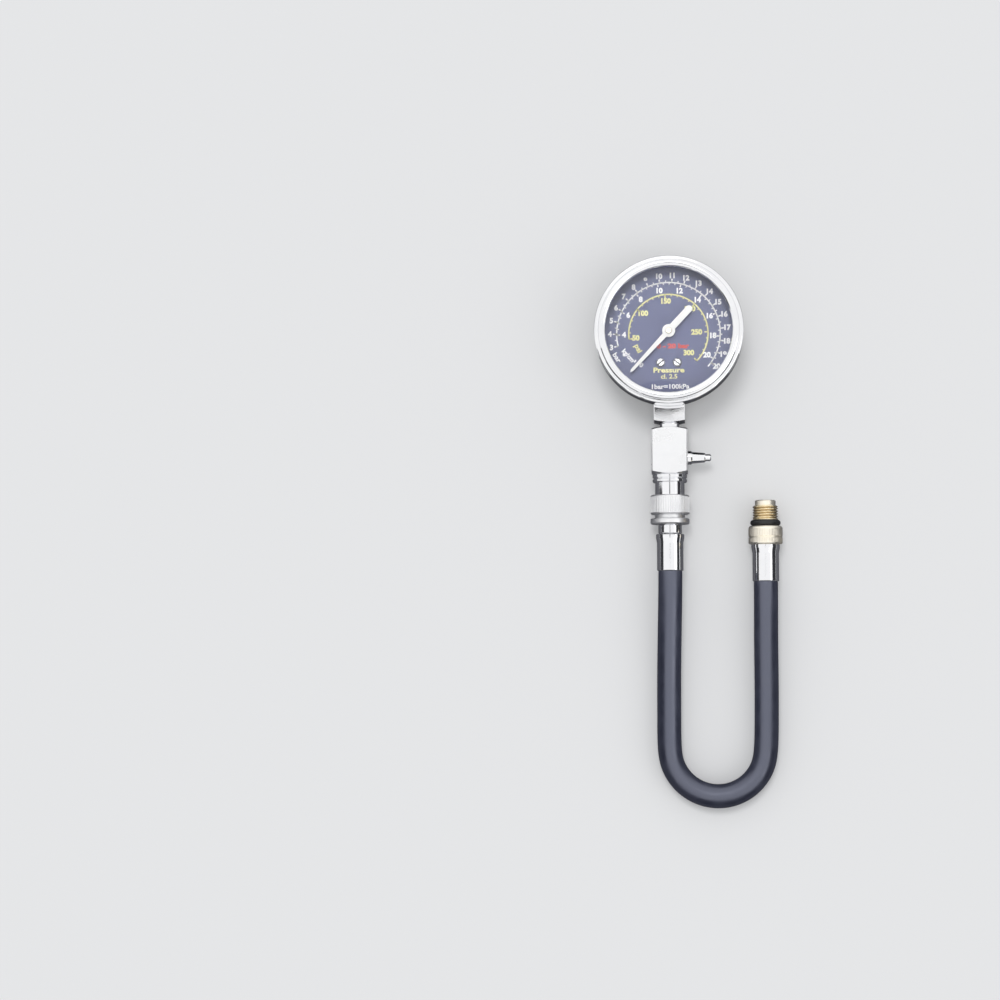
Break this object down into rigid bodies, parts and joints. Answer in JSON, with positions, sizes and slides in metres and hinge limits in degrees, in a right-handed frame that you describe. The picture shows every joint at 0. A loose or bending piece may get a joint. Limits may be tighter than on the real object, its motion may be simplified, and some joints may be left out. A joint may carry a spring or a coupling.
{
  "type": "compression tester gauge",
  "caption": "Round dial pressure gauge on a square tee with a press-to-bleed valve, a quick coupler and a short rubber hose ending in a brass spark-plug fitting.",
  "frame": {"origin": "centre of the gauge case's flat back, which lies on the surface", "axes": "+Z out of the dial, +Y to the top of the dial, so the stem and hose run along -Y"},
  "size_m": [0.0878, 0.2591, 0.0294],
  "materials": {
    "black_enamel": "gloss black enamel",
    "zinc_steel": "bright zinc",
    "chrome_plate": "bright nickel-chrome plate",
    "clear_lens": "clear flat window",
    "black_rubber": "matt",
    "dial_black": "satin black with white and yellow print",
    "pointer_white": "satin white",
    "brass": "machined",
    "spring_steel": "drawn wire",
    "satin_steel": "fine fluted grip, nickel plate",
    "ferrule_steel": "bright plated",
    "hose_rubber": "smooth cover",
    "brass_fitting": "turned, fluted collar"
  },
  "bodies": {
    "gauge_head": {"gauge_case": "black_enamel", "case_screws": "zinc_steel", "bezel_ring": "chrome_plate", "lens": "clear_lens", "lens_gasket": "black_rubber", "dial_plate": "dial_black", "dial_screws": "zinc_steel", "hairspring": "brass", "movement_back_plate": "brass", "movement_front_plate": "brass", "movement_pillars": "brass", "movement_screws": "zinc_steel", "bourdon_tube": "brass", "gauge_socket": "chrome_plate", "tee_body": "chrome_plate", "valve_housing": "chrome_plate", "valve_spring": "spring_steel", "coupler_body": "chrome_plate", "coupler_spring": "spring_steel", "lock_balls": "zinc_steel", "sleeve_stop_ring": "spring_steel", "coupler_seal": "black_rubber"},
    "pointer_shaft": {"pointer": "pointer_white", "pointer_bush": "brass", "pinion_arbor": "brass"},
    "sector": {"sector_gear": "brass"},
    "tube_end": {"tube_tip": "brass", "link_rod": "zinc_steel"},
    "bleed_button": {"valve_button": "chrome_plate", "valve_seal": "black_rubber"},
    "sleeve": {"coupler_sleeve": "satin_steel"},
    "hose_line": {"hose_plug": "chrome_plate", "upper_ferrule": "ferrule_steel", "hose": "hose_rubber", "lower_ferrule": "ferrule_steel", "end_fitting": "brass_fitting", "end_seal": "black_rubber", "check_valve_cage": "brass", "check_valve_spring": "spring_steel"},
    "check_pin": {"check_valve_pin": "zinc_steel"}
  },
  "joints": [
    {"name": "tube_end_lift", "type": "slide", "parent": "gauge_head", "child": "tube_end", "axis": [0, 1, 0], "range_m": [0, 0.00396], "stiffness_N_per_m": 60, "deforming": ["bourdon_tube"]},
    {"name": "sector_turn", "type": "hinge", "parent": "gauge_head", "child": "sector", "pos_m": [0.01353, -0.00493, 0.0142], "axis": [0, 0, 1], "range_deg": [0, 38.6]},
    {"name": "pointer_turn", "type": "hinge", "parent": "gauge_head", "child": "pointer_shaft", "pos_m": [0, 0, 0.022], "axis": [0, 0, -1], "range_deg": [0, 270], "stiffness_Nm_per_rad": 0.000002, "deforming": ["hairspring"]},
    {"name": "bleed_press", "type": "slide", "parent": "gauge_head", "child": "bleed_button", "axis": [-1, 0, 0], "range_m": [0, 0.0016], "stiffness_N_per_m": 150, "deforming": ["valve_spring"]},
    {"name": "sleeve_slide", "type": "slide", "parent": "gauge_head", "child": "sleeve", "axis": [0, 1, 0], "range_m": [0, 0.0045], "stiffness_N_per_m": 1500, "deforming": ["coupler_spring"]},
    {"name": "hose_swivel", "type": "hinge", "parent": "gauge_head", "child": "hose_line", "pos_m": [0, -0.085, 0.0095], "axis": [0, 1, 0], "continuous": true},
    {"name": "check_valve_open", "type": "slide", "parent": "hose_line", "child": "check_pin", "axis": [0, -1, 0], "range_m": [0, 0.0015], "stiffness_N_per_m": 60, "deforming": ["check_valve_spring"]}
  ],
  "couplings": [
    {"joint": "sector_turn", "follows": "tube_end_lift", "rad_per_m": 169.86},
    {"joint": "pointer_turn", "follows": "tube_end_lift", "rad_per_m": 1189}
  ]
}
